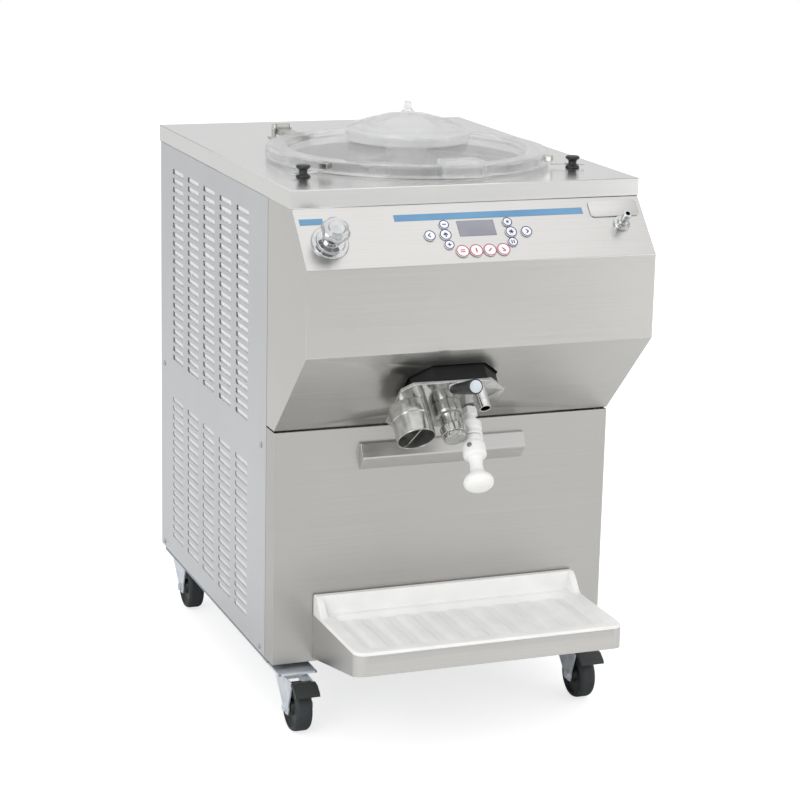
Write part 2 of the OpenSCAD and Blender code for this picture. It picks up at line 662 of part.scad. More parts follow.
module fork(side, wheel_y) color(zinc) placed() translate([side * wheel_x, wheel_y, 0]) {
    inner = wheel_w / 2 + 2;
    cheek = [[-9, wheel_r - 12], [9, wheel_r - 12], [caster_trail + 26, fork_top - 16],
             [caster_trail + 26, fork_top], [pedal_y - 5, fork_top], [pedal_y - 5, fork_top - 8], [-12, wheel_r + 6]];
    difference() {
        union() {
            across(2 * inner + 6) polygon(cheek);
            translate([0, 0, wheel_r]) tube_x(13, 2 * inner + 6);
            translate([0, caster_trail, fork_top - 1]) cylinder(r = 29, h = 6.7);
        }
        block([-inner, -60, -1], [inner, caster_trail + 60, fork_top - 3]);
        block([-inner, -60, -1], [inner, caster_trail - 30, fork_top + 1]);
    }
    translate([0, caster_trail, fork_top]) cylinder(r = 6, h = 8.8);
    translate([0, 0, wheel_r]) tube_x(axle_r, 2 * inner + 8);
    translate([0, pedal_y, pedal_z]) tube_x(2, 2 * inner + 2);
    for (end = [-1, 1]) translate([end * (inner + 6), 0, wheel_r]) rotate([0, 90, 0])
        cylinder(r = 8, h = 6, center = true, $fn = 6);
}
module wheel(side, wheel_y) color(black) placed() translate([side * wheel_x, wheel_y, wheel_r]) difference() {
    rotate([0, 90, 0]) rotate_extrude($fn = 96) polygon(
        [[axle_r + run_gap, -wheel_w / 2], [14, -wheel_w / 2], [16, -wheel_w / 2 + 7], [wheel_r - 9, -wheel_w / 2 + 7],
         [wheel_r - 7, -wheel_w / 2 + 1], [wheel_r - 3, -wheel_w / 2 + 2], [wheel_r, -wheel_w / 2 + 8],
         [wheel_r, wheel_w / 2 - 8], [wheel_r - 3, wheel_w / 2 - 2], [wheel_r - 7, wheel_w / 2 - 1],
         [wheel_r - 9, wheel_w / 2 - 7], [16, wheel_w / 2 - 7], [14, wheel_w / 2], [axle_r + run_gap, wheel_w / 2]]);
}
module brake_pedal(side) color(black) placed() translate([side * wheel_x, front_wheel_y + pedal_y, pedal_z]) {
    difference() {
        union() {
            tube_x(4, wheel_w);
            across(wheel_w) polygon([[-2, -3.5], [2, 3.5], [-14, 5], [-14, -3]]);
            across(wheel_w + 12) polygon([[-8, 0], [-8, 5], [-22, 3], [-36, -7], [-39, -13], [-34, -14], [-28, -9], [-16, -2]]);
        }
        tube_x(2 + run_gap, 60);
    }
}

base_frame();
left_side_panel();
right_side_panel();
rear_panel();
front_shell();
lower_front_panel();
bucket_rail();
top_deck();
tank_bowl();
tank_insulation();
stirrer();
gear_motor();
condenser();
fan();
compressor();
electrical_box();
fascia_trim();
display_window();
hose_spigot();
valve_flange();
valve_knob();
tap_neck();
tap_plate();
spout();
tap_cylinder();
tap_cap();
plunger_guide();
plunger();
tap_lever();
bucket_shelf();
tray_insert();
panel_screws();
lid_hinge();
lid_ring();
lid_cone();
port_cover();
left_clamp();
right_clamp();
for (i = [0:11])
    key(i);
fork(-1, front_wheel_y);  // front_left_fork
fork(1, front_wheel_y);  // front_right_fork
fork(-1, rear_wheel_y);  // rear_left_fork
fork(1, rear_wheel_y);  // rear_right_fork
wheel(-1, front_wheel_y);  // front_left_wheel
wheel(1, front_wheel_y);  // front_right_wheel
wheel(-1, rear_wheel_y);  // rear_left_wheel
wheel(1, rear_wheel_y);  // rear_right_wheel
brake_pedal(-1);  // left_brake_pedal
brake_pedal(1);  // right_brake_pedal
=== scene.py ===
import json
import math
import bmesh
import bpy
import numpy as np
from mathutils import Matrix, Vector


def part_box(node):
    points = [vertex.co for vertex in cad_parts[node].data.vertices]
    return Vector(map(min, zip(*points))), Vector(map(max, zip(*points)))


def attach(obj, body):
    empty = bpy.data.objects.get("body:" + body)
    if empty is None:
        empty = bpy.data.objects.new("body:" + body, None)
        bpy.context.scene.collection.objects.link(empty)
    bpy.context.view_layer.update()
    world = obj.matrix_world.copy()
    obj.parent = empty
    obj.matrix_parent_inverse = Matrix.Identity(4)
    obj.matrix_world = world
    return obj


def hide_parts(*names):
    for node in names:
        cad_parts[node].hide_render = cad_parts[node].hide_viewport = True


# A vertical batch freezer in stainless steel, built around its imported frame.
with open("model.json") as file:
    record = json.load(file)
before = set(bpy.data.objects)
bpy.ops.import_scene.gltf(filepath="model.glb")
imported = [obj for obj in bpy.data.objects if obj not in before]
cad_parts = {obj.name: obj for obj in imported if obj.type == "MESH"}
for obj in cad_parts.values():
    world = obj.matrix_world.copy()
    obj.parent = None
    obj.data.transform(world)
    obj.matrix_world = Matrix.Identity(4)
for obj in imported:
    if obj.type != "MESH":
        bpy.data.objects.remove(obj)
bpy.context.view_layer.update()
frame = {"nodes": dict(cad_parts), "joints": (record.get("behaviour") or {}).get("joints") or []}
nodes = frame["nodes"]
mm = 0.001
print("frame loaded")


def linear(hexValue, alpha=1.0):  # sRGB hex to linear RGBA
    parts = np.array([int(hexValue[i:i + 2], 16) for i in (0, 2, 4)]) / 255
    low, high = parts / 12.92, ((parts + 0.055) / 1.055) ** 2.4
    return (*np.where(parts <= 0.04045, low, high), alpha)


def addNode(tree, kind, inputs=None, **settings):
    # adds one node, sets it, and joins or sets its inputs
    node = tree.nodes.new(kind)
    for key, value in settings.items():
        setattr(node, key, value)
    for key, value in (inputs or {}).items():
        if isinstance(value, bpy.types.NodeSocket):
            tree.links.new(value, node.inputs[key])
        else:
            node.inputs[key].default_value = value
    return node


def newMaterial(name, **constants):
    material = bpy.data.materials.new(name)
    material.use_nodes = True
    tree = material.node_tree
    shader = tree.nodes["Principled BSDF"]
    for key, value in constants.items():
        shader.inputs[key.replace("_", " ")].default_value = value
    return material, tree, shader


def objectPlace(tree, scale):
    # Object coordinates stretched to the pattern's own scale, in repeats per metre
    coords = addNode(tree, "ShaderNodeTexCoord")
    return addNode(tree, "ShaderNodeMapping", {"Vector": coords.outputs["Object"], "Scale": scale}).outputs["Vector"]


def mixedColour(tree, factor, dark, light, low=0.3, high=0.7):
    ramp = addNode(tree, "ShaderNodeValToRGB", {"Fac": factor})
    ramp.color_ramp.elements[0].position, ramp.color_ramp.elements[1].position = low, high
    ramp.color_ramp.elements[0].color, ramp.color_ramp.elements[1].color = linear(dark), linear(light)
    return ramp.outputs["Color"]


def spread(tree, value, low, high):
    return addNode(tree, "ShaderNodeMapRange", {"Value": value, "To Min": low, "To Max": high}).outputs["Result"]


def brushedSteel(name, dark, light, rough, grain, along="x"):
    # cold rolled 304 sheet with a ground grain: long fine scratches that blur reflections one way
    material, tree, shader = newMaterial(name, Metallic=1.0)
    run, across = 3.0, 1 / grain
    scale = {"x": (run, across, across), "y": (across, run, across), "z": (across, across, run)}[along]
    scratches = addNode(tree, "ShaderNodeTexNoise", {
        "Vector": objectPlace(tree, scale), "Scale": 1.0, "Detail": 3.0, "Roughness": 0.6})
    clouds = addNode(tree, "ShaderNodeTexNoise", {
        "Vector": objectPlace(tree, (3.1, 3.1, 3.1)), "Scale": 1.0, "Detail": 2.0})
    both = addNode(tree, "ShaderNodeMix", {
        "Factor": 0.35, "A": scratches.outputs["Fac"], "B": clouds.outputs["Fac"]})
    tone = mixedColour(tree, both.outputs["Result"], dark, light)
    tree.links.new(tone, shader.inputs["Base Color"])
    tree.links.new(spread(tree, scratches.outputs["Fac"], rough - 0.07, rough + 0.07), shader.inputs["Roughness"])
    bump = addNode(tree, "ShaderNodeBump", {
        "Height": scratches.outputs["Fac"], "Strength": 0.12, "Distance": 0.0002})
    tree.links.new(bump.outputs["Normal"], shader.inputs["Normal"])
    return material


def polishedSteel(name, dark, light, rough, metal=1.0):
    # polished stainless: sharp reflections, faint wipe marks and water spots in the gloss
    material, tree, shader = newMaterial(name, Metallic=metal)
    wipes = addNode(tree, "ShaderNodeTexNoise", {
        "Vector": objectPlace(tree, (60, 60, 60)), "Scale": 1.0, "Detail": 4.0, "Distortion": 0.6})
    tree.links.new(mixedColour(tree, wipes.outputs["Fac"], dark, light), shader.inputs["Base Color"])
    tree.links.new(spread(tree, wipes.outputs["Fac"], rough * 0.5, rough * 1.6), shader.inputs["Roughness"])
    return material


def mouldedPlastic(name, dark, light, rough, grain=0.0006, relief=0.06, ior=1.5, coat=0.0):
    # injection-moulded plastic: a fine spark-eroded grain under an even colour
    material, tree, shader = newMaterial(name, IOR=ior, Coat_Weight=coat)
    grainNoise = addNode(tree, "ShaderNodeTexNoise", {
        "Vector": objectPlace(tree, (1 / grain,) * 3), "Scale": 1.0, "Detail": 2.0})
    flow = addNode(tree, "ShaderNodeTexNoise", {"Vector": objectPlace(tree, (14, 14, 14)), "Scale": 1.0})
    tree.links.new(mixedColour(tree, flow.outputs["Fac"], dark, light), shader.inputs["Base Color"])
    tree.links.new(spread(tree, grainNoise.outputs["Fac"], rough - 0.06, rough + 0.06), shader.inputs["Roughness"])
    bump = addNode(tree, "ShaderNodeBump", {
        "Height": grainNoise.outputs["Fac"], "Strength": relief, "Distance": 0.0003})
    tree.links.new(bump.outputs["Normal"], shader.inputs["Normal"])
    return material


def clearAcrylic(name, tint, haze, alpha, clearness):
    # clear cast acrylic with the light haze of daily washing
    material, tree, shader = newMaterial(name, IOR=1.49, Alpha=alpha, Transmission_Weight=clearness)
    haziness = addNode(tree, "ShaderNodeTexNoise", {
        "Vector": objectPlace(tree, (22, 22, 22)), "Scale": 1.0, "Detail": 3.0})
    tree.links.new(mixedColour(tree, haziness.outputs["Fac"], tint[0], tint[1]), shader.inputs["Base Color"])
    tree.links.new(spread(tree, haziness.outputs["Fac"], haze * 0.5, haze * 1.5), shader.inputs["Roughness"])
    return material


def paintedIron(name, dark, light, rough):
    # sprayed machine enamel with a slight orange peel
    material, tree, shader = newMaterial(name, Coat_Weight=0.3, Coat_Roughness=0.25)
    peel = addNode(tree, "ShaderNodeTexNoise", {"Vector": objectPlace(tree, (420, 420, 420)), "Scale": 1.0})
    dust = addNode(tree, "ShaderNodeTexNoise", {"Vector": objectPlace(tree, (9, 9, 9)), "Scale": 1.0, "Detail": 4.0})
    tree.links.new(mixedColour(tree, dust.outputs["Fac"], dark, light), shader.inputs["Base Color"])
    tree.links.new(spread(tree, dust.outputs["Fac"], rough - 0.05, rough + 0.1), shader.inputs["Roughness"])
    bump = addNode(tree, "ShaderNodeBump", {"Height": peel.outputs["Fac"], "Strength": 0.15, "Distance": 0.0003})
    tree.links.new(bump.outputs["Normal"], shader.inputs["Normal"])
    return material


def zincPlate(name):
    # dull zinc plating: a cool, partly diffuse sheen with faint yellowish and bluish patches
    material, tree, shader = newMaterial(name, Metallic=0.5)
    patches = addNode(tree, "ShaderNodeTexNoise", {
        "Vector": objectPlace(tree, (45, 45, 45)), "Scale": 1.0, "Detail": 3.0})
    tree.links.new(mixedColour(tree, patches.outputs["Fac"], "C9D2DC", "E4E8EC"), shader.inputs["Base Color"])
    tree.links.new(spread(tree, patches.outputs["Fac"], 0.28, 0.42), shader.inputs["Roughness"])
    return material


def finStripesPaintedShade(name):
    # thin aluminium fins drawn as stripes one every 3 mm, so that they show: light stripes for the bare fin edges, dark
    # stripes of painted shade for the gaps between them
    material, tree, shader = newMaterial(name, Metallic=0.8, Roughness=0.45)
    fins = addNode(tree, "ShaderNodeTexWave", {
        "Vector": objectPlace(tree, (1, 1, 1)), "Scale": 1 / (0.003 * 2 * math.pi) * 2}, bands_direction="Y")
    # dark colour: painted shade in the gaps between fins; light colour: the fins' bare aluminium edges
    tree.links.new(mixedColour(tree, fins.outputs["Fac"], "8E9296", "D9DBDD"), shader.inputs["Base Color"])
    return material


materials = {
    "front": brushedSteel("brushedStainlessFront", "C5C4C2", "D3D2D0", 0.3, 0.0009, "x"),
    # the lower front panel is the same brushed stainless as the front, painted darker: painted shade from the
    # overhanging front above it
    "lower": brushedSteel("brushedStainlessLowerPaintedShade", "B6B5B2", "C3C2C0", 0.32, 0.0009, "x"),
    "side": brushedSteel("brushedStainlessSide", "C9CACD", "D6D7DA", 0.36, 0.0009, "z"),
    "deck": brushedSteel("satinStainlessDeck", "E0E0DF", "ECECEB", 0.2, 0.0008, "x"),
    "polished": polishedSteel("polishedStainless", "C2C2C1", "D6D6D5", 0.1),
    "chrome": polishedSteel("chromePlate", "B4B5B6", "CCCDCE", 0.06),
    "satin": polishedSteel("satinTapSteel", "A4A4A1", "BEBEBB", 0.18, 0.85),
    "tank": polishedSteel("washedTankSteel", "C8C8C7", "DADAD9", 0.22, 0.35),
    "frame": paintedIron("greyBlueFramePaint", "6E7684", "838B99", 0.45),
    "insulation": mouldedPlastic("whiteInsulationBoard", "EDEEEE", "FAFAFA", 0.6, 0.002),
    "motor": paintedIron("blueGreyMotorEnamel", "40505F", "4F6172", 0.4),
    "compressor": paintedIron("blackCompressorEnamel", "17181A", "232527", 0.3),
    "fins": finStripesPaintedShade("aluminiumFinsPaintedShade"),
    "filter": mouldedPlastic("paleFilterFelt", "D2D3D3", "E6E6E6", 0.8, 0.0011, 0.2),
    "neck": mouldedPlastic("blackNeckCasting", "0B0C0C", "131515", 0.5, ior=1.38),
    "galvanised": brushedSteel("galvanisedSheet", "9EA2A6", "B9BDC0", 0.45, 0.004, "y"),
    "black": mouldedPlastic("blackPolyamide", "1B1E1E", "2A2F2F", 0.42),
    "rubber": mouldedPlastic("blackTreadRubber", "202426", "303538", 0.6, 0.0012, 0.15),
    "white": mouldedPlastic("whitePolyethylene", "EAEAE9", "F3F3F2", 0.38, 0.0008, 0.04),
    "clear": clearAcrylic("clearAcrylic", ("FAFCFC", "FFFFFF"), 0.03, 0.66, 0.82),
    "clearSheet": clearAcrylic("clearAcrylicSheet", ("FAFCFC", "FFFFFF"), 0.03, 0.42, 0.7),
    "blue": mouldedPlastic("blueStripeFilm", "5587AF", "6194BB", 0.3, 0.0005, 0.02, coat=0.4),
    "key": mouldedPlastic("whiteKeyFilm", "E4E5EB", "EEEFF3", 0.25, 0.0005, 0.02, coat=0.3),
    "display": mouldedPlastic("greyDisplayWindow", "80818C", "8F909A", 0.12, 0.0004, 0.0, coat=0.8),
    "clearCover": clearAcrylic("frostedClearCover", ("FAFBFB", "FFFFFF"), 0.1, 0.58, 0.6),
    "zinc": zincPlate("brightZincPlate"),
    "navy": mouldedPlastic("navyPrint", "1A2458", "242F6A", 0.4, 0.0005, 0.02),
    "crimson": mouldedPlastic("crimsonPrint", "A8183A", "B6264A", 0.4, 0.0005, 0.02),
}
nodeFinish = {
    "base_frame": "frame", "left_side_panel": "side", "right_side_panel": "side", "rear_panel": "side",
    "front_shell": "front", "lower_front_panel": "lower", "bucket_rail": "front", "top_deck": "deck",
    "tank_bowl": "tank", "tank_insulation": "insulation", "stirrer": "tank", "gear_motor": "motor",
    "condenser": "fins", "fan": "black", "compressor": "compressor", "electrical_box": "galvanised",
    "fascia_trim": "blue", "display_window": "display", "hose_spigot": "chrome", "valve_flange": "chrome",
    "valve_knob": "chrome", "tap_neck": "neck", "tap_plate": "polished", "spout": "polished",
    "tap_cylinder": "polished", "tap_cap": "polished", "plunger_guide": "white", "plunger": "white",
    "tap_lever": "black", "bucket_shelf": "front", "tray_insert": "white", "panel_screws": "chrome",
    "lid_hinge": "polished", "lid_ring": "clear", "lid_cone": "clear", "port_cover": "clear",
    "left_clamp": "black", "right_clamp": "black", "left_brake_pedal": "black", "right_brake_pedal": "black"}
for nodeName, cadObject in nodes.items():
    finish = nodeFinish.get(nodeName)
    if finish is None:
        finish = "key" if nodeName.startswith("key_") else "zinc" if nodeName.endswith("_fork") else "rubber"
    cadObject.data.materials.clear()
    cadObject.data.materials.append(materials[finish])
print("materials set")

# Camera, solved for the angle, height and lens
cameraPlace = {"at": (-1.5387, -4.0397, 1.6266), "turn": 20.998, "dip": 14.227, "roll": 1.308, "lens": 104.93}


def makeCamera():
    turn, dip, roll = (math.radians(cameraPlace[key]) for key in ("turn", "dip", "roll"))
    ahead = Vector((math.sin(turn) * math.cos(dip), math.cos(turn) * math.cos(dip), -math.sin(dip)))
    level = Vector((math.cos(turn), -math.sin(turn), 0))
    up = level.cross(ahead)
    rightward = math.cos(roll) * level + math.sin(roll) * up
    upward = math.cos(roll) * up - math.sin(roll) * level
    data = bpy.data.cameras.new("camera")
    data.lens, data.sensor_width, data.clip_start = cameraPlace["lens"], 36, 0.05
    camera = bpy.data.objects.new("camera", data)
    turnMatrix = Matrix((rightward, upward, -ahead)).transposed().to_4x4()
    camera.matrix_world = Matrix.Translation(cameraPlace["at"]) @ turnMatrix
    bpy.context.scene.collection.objects.link(camera)
    bpy.context.scene.camera = camera


# Soft studio: a world that is brightest overhead, a large sheet above, a key from the left front and a fill.
# Dark flags behind the camera give the polished parts something to reflect.
studio = {
    "horizon": 0.74, "overhead": 0.9, "floorSeen": "BCBCBC", "floorGlow": 0.72, "floorReflected": "F0F0EE",
    "lights": [
        ("overhead", (0.0, -0.4, 3.4), (0, 0, 0.8), 3.2, 14),
        ("keyLeft", (-3.0, -2.6, 2.2), (0, 0, 0.6), 2.2, 46),
        ("fillRight", (2.8, -2.8, 1.2), (0, 0, 0.5), 2.0, 18)],
    "flags": [("flagLeft", (-4.6, -3.4, 0.9), (0.7, 3.0)), ("flagMiddle", (-0.6, -6.2, 0.9), (0.8, 3.0)),
              ("flagRight", (3.6, -4.4, 0.9), (0.9, 3.0))]}


def makeWorld():
    world = bpy.data.worlds.new("studio")
    bpy.context.scene.world = world
    world.use_nodes = True
    tree = world.node_tree
    background = tree.nodes["Background"]
    coords = addNode(tree, "ShaderNodeTexCoord")
    height = addNode(tree, "ShaderNodeSeparateXYZ", {"Vector": coords.outputs["Generated"]}).outputs["Z"]
    glow = addNode(tree, "ShaderNodeMapRange", {
        "Value": height, "From Min": 0.1, "From Max": 0.75, "To Min": studio["horizon"], "To Max": studio["overhead"]},
        interpolation_type="SMOOTHSTEP")
    seen = addNode(tree, "ShaderNodeLightPath").outputs["Is Camera Ray"]
    strength = addNode(tree, "ShaderNodeMix", {"Factor": seen, "A": glow.outputs["Result"], "B": 1.0})
    background.inputs["Color"].default_value = linear("FFFFFF")
    tree.links.new(strength.outputs["Result"], background.inputs["Strength"])


def makeFloor():
    # nearly white where the camera sees it, with light shadows; a plain pale grey in reflections
    material, tree, shader = newMaterial("paleFloor", Roughness=0.8)
    seen = addNode(tree, "ShaderNodeLightPath").outputs["Is Camera Ray"]
    tree.links.new(mixedColour(tree, seen, studio["floorReflected"], studio["floorSeen"]), shader.inputs["Base Color"])
    shader.inputs["Emission Color"].default_value = linear("FFFFFF")
    tree.links.new(spread(tree, seen, 0.0, studio["floorGlow"]), shader.inputs["Emission Strength"])
    bpy.ops.mesh.primitive_plane_add(size=24)
    floor = bpy.context.object
    floor.name = "floor"
    floor.data.materials.append(material)


def makeStudio():
    makeWorld()
    makeFloor()
    for name, place, aim, size, power in studio["lights"]:
        data = bpy.data.lights.new(name, "AREA")
        data.shape, data.size, data.energy = "SQUARE", size, power
        lamp = bpy.data.objects.new(name, data)
        lamp.location = place
        lamp.rotation_euler = (Vector(aim) - Vector(place)).to_track_quat("-Z", "Y").to_euler()
        bpy.context.scene.collection.objects.link(lamp)
    dark = newMaterial("blackFlag", Roughness=0.9, Base_Color=linear("1A1A1A"))[0]
    for name, place, (wide, high) in studio["flags"]:
        bpy.ops.mesh.primitive_plane_add(size=1, location=place)
        flag = bpy.context.object
        flag.name = name
        flag.scale = (wide, high, 1)
        flag.rotation_euler = (Vector((0, 0, place[2])) - Vector(place)).to_track_quat("Z", "Y").to_euler()
        flag.visible_camera = flag.visible_shadow = flag.visible_diffuse = False
        flag.data.materials.append(dark)
    bpy.context.scene.view_settings.view_transform = "Standard"


makeCamera()
makeStudio()
print("studio ready")


def vertsOf(nodeName):
    mesh = nodes[nodeName].data
    flat = np.zeros(len(mesh.vertices) * 3)
    mesh.vertices.foreach_get("co", flat)
    return flat.reshape(-1, 3)


def endFace(nodeName, axis):
    # centre and reach of a node's outermost flat face along an axis
    points, axis = vertsOf(nodeName), np.array(axis)
    height = points @ axis
    face = points[height > height.max() - 0.00015]
    middle = (face.min(0) + face.max(0)) / 2
    spanned = np.ptp(face, axis=0)
    return Vector(middle), float(max(spanned)) / 2


def buildMesh(name, points, faces, material, body, replaced=(), smoothAngle=35, merge=2e-6):
    # a finished piece: doubles merged, faces outward, smooth but for edges past the angle
    mesh = bpy.data.meshes.new(name)
    mesh.from_pydata(np.asarray(points, float).tolist(), [], [list(map(int, f)) for f in faces])
    work = bmesh.new()
    work.from_mesh(mesh)
    bmesh.ops.remove_doubles(work, verts=work.verts, dist=merge)
    bmesh.ops.dissolve_degenerate(work, edges=work.edges, dist=1e-7)
    bmesh.ops.recalc_face_normals(work, faces=work.faces)
    work.to_mesh(mesh)
    work.free()
    mesh.materials.append(materials[material])
    piece = bpy.data.objects.new(name, mesh)
    bpy.context.scene.collection.objects.link(piece)
    mesh.shade_smooth()
    mesh.set_sharp_from_angle(angle=math.radians(smoothAngle))
    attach(piece, body)
    if replaced:
        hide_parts(*replaced)
    return piece


def gridFaces(rows, cols, wrap=False):
    # quads of a rows by cols grid of points; wrap joins the last column to the first
    i = np.arange(rows - 1)[:, None]
    j = np.arange(cols if wrap else cols - 1)[None, :]
    k = (j + 1) % cols
    quads = np.stack([i * cols + j, i * cols + k, (i + 1) * cols + k, (i + 1) * cols + j], -1)
    return quads.reshape(-1, 4)


def softened(corners, radius, steps=4):
    # a profile whose corners are rounded by quadratic arcs of about that radius
    corners = np.asarray(corners, float)
    out = [corners[0]]
    for before, corner, after in zip(corners[:-2], corners[1:-1], corners[2:]):
        back, on = before - corner, after - corner
        reach = min(radius, np.linalg.norm(back) * 0.49, np.linalg.norm(on) * 0.49)
        start = corner + back / np.linalg.norm(back) * reach
        end = corner + on / np.linalg.norm(on) * reach
        t = np.linspace(0, 1, steps + 1)[:, None]
        out.extend((1 - t) ** 2 * start + 2 * t * (1 - t) * corner + t ** 2 * end)
    out.append(corners[-1])
    return np.array(out)


def frameAlong(axis):
    # three unit vectors: across, up and along, with across as near X as it can be, or Y for an axis along X
    along = np.array(axis, float) / np.linalg.norm(axis)
    side = np.array((1.0, 0, 0) if abs(along[0]) < 0.9 else (0, 1.0, 0))
    across = side - np.dot(side, along) * along
    across /= np.linalg.norm(across)
    return across, np.cross(along, across), along


def lathe(name, profile, origin, axis, material, body, replaced=(), steps=72, wobble=None, smoothAngle=35):
    # a profile of (radius, height) in mm turned round an axis; wobble scales the radius by angle and height
    profile = np.asarray(profile, float) * mm
    angle = np.arange(steps) * 2 * math.pi / steps
    radius = np.repeat(profile[:, :1], steps, axis=1)
    if wobble is not None:
        radius = radius * wobble(angle[None, :], profile[:, 1:2] / mm)
    across, up, along = frameAlong(axis)
    ring = np.cos(angle)[None, :, None] * across + np.sin(angle)[None, :, None] * up
    points = np.array(origin) + radius[:, :, None] * ring + profile[:, 1, None, None] * along
    return buildMesh(name, points.reshape(-1, 3), gridFaces(len(profile), steps, True),
                     material, body, replaced, smoothAngle)


def rod(name, path, radius, material, body, sides=16, replaced=()):
    # a round bar carried along a path of points in metres, closed at both ends
    path = np.asarray(path, float)
    tangent = np.gradient(path, axis=0)
    tangent /= np.linalg.norm(tangent, axis=1)[:, None]
    side = np.cross(tangent, np.array([0.13, 0.21, 0.97]))
    side /= np.linalg.norm(side, axis=1)[:, None]
    up = np.cross(tangent, side)
    angle = np.arange(sides) * 2 * math.pi / sides
    ring = np.cos(angle)[None, :, None] * side[:, None] + np.sin(angle)[None, :, None] * up[:, None]
    points = path[:, None] + radius * ring
    points = np.concatenate([path[:1, None] + 0 * ring[:1], points, path[-1:, None] + 0 * ring[-1:]])
    return buildMesh(name, points.reshape(-1, 3), gridFaces(len(points), sides, True), material, body, replaced)


def looseParts(nodeName, chosen):
    # a bmesh copy of a node, merged, that keeps the loose parts whose middle is chosen
    work = bmesh.new()
    work.from_mesh(nodes[nodeName].data)
    bmesh.ops.remove_doubles(work, verts=work.verts, dist=2e-6)
    # a dict keeps its order, where a set of vertices has another order in each run
    left, dropped = dict.fromkeys(work.verts), []
    while left:
        part, queue = [], [left.popitem()[0]]
        while queue:
            vert = queue.pop()
            part.append(vert)
            near = [edge.other_vert(vert) for edge in vert.link_edges]
            for other in near:
                if other in left:
                    queue.append(other)
                    del left[other]
        spots = np.array([vert.co for vert in part])
        if not chosen((spots.min(0) + spots.max(0)) / 2):
            dropped.extend(part)
    bmesh.ops.delete(work, geom=dropped, context="VERTS")
    return work


def mergeFlats(work):
    # joins the triangles of each flat face; a face with a hole in it keeps its triangles, paired where they can be
    work.faces.ensure_lookup_table()
    left, flats = dict.fromkeys(work.faces), []
    while left:
        queue = [left.popitem()[0]]
        flat = list(queue)
        while queue:
            for edge in queue.pop().edges:
                if len(edge.link_faces) == 2 and edge.calc_face_angle() < 0.004:
                    near = [face for face in edge.link_faces if face in left]
                    queue.extend(near)
                    flat.extend(near)
                    for face in near:
                        del left[face]
        flats.append(flat)
    whole, pierced = [], []
    for flat in flats:
        rim = {vert for face in flat for vert in face.verts}
        sides = {edge for face in flat for edge in face.edges}
        (whole if len(rim) - len(sides) + len(flat) == 1 else pierced).append(flat)
    for flat in whole:
        if len(flat) > 1:
            bmesh.ops.dissolve_faces(work, faces=flat)
    bmesh.ops.join_triangles(work, faces=[face for flat in pierced for face in flat],
                             angle_face_threshold=0.01, angle_shape_threshold=3.1)


def bevelled(name, nodeName, width, material, body, chosen=lambda middle: True, angle=28, segments=2, shortest=0):
    # a copy of a node with its sharp edges broken to a small radius, in mm, where they are long enough
    work = looseParts(nodeName, chosen)
    mergeFlats(work)
    weight = work.edges.layers.float.new("bevel_weight_edge")
    for edge in work.edges:
        if len(edge.link_faces) == 2 and edge.calc_face_angle() > math.radians(angle):
            edge[weight] = float(edge.calc_length() >= shortest * mm)
    mesh = bpy.data.meshes.new(name)
    work.to_mesh(mesh)
    work.free()
    mesh.materials.append(materials[material])
    piece = bpy.data.objects.new(name, mesh)
    bpy.context.scene.collection.objects.link(piece)
    mesh.shade_smooth()
    bevel = piece.modifiers.new("edge", "BEVEL")
    bevel.width, bevel.segments, bevel.limit_method = width * mm, segments, "WEIGHT"
    bevel.harden_normals, bevel.use_clamp_overlap = shortest == 0, shortest == 0
    mesh.set_sharp_from_angle(angle=math.radians(angle))
    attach(piece, body)
    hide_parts(nodeName)
    return piece


# Directions of the sloping key panel and of the undercut that carries the tap
panelTilt = math.radians(47)
panelOut = Vector((0, -math.sin(panelTilt), math.cos(panelTilt)))
panelUp = Vector((0, math.cos(panelTilt), math.sin(panelTilt)))
tapOut = Vector((0, -math.sqrt(0.5), -math.sqrt(0.5)))
upright = Vector((0, 0, 1))


# Keys: each cap carries a printed ring and a plain generic mark (x, y, length, width, angle in mm and degrees)
keyPrint = {
    "bold": 1.4, "ringWidth": 1.6, "rise": 0.18, "sink": 0.12, "marks": {
        1: [(0, 0, 7, 1.4, 0)], 2: [(0, 0, 7, 1.4, 0), (0, 0, 7, 1.4, 90)],
        3: [(0, 0, 6, 1.3, 45), (0, 0, 6, 1.3, -45)], 4: [(-2, 0, 7, 1.3, 90), (2, 0, 7, 1.3, 90)],
        5: [(-1.9, 1, 6, 1.6, 50), (1.9, 1, 6, 1.6, -50), (0, -2, 7, 1.6, 90)],
        6: [(0, 0, 9, 1.3, a) for a in (0, 60, 120)],
        7: [(-1.2, 1.8, 6, 1.4, 40), (-1.2, -1.8, 6, 1.4, -40)],
        8: [(1.2, 1.8, 6, 1.4, -40), (1.2, -1.8, 6, 1.4, 40)],
        9: [(0, 1.8, 8, 1.2, 0), (0, -1.8, 8, 1.2, 0)], 10: [(0, 0, 9, 1.6, 90)],
        11: [(0, 0, 8, 1.4, 45)], 12: [(0, 0, 8, 1.4, -45), (0, -3.6, 6, 1.1, 0)]}}


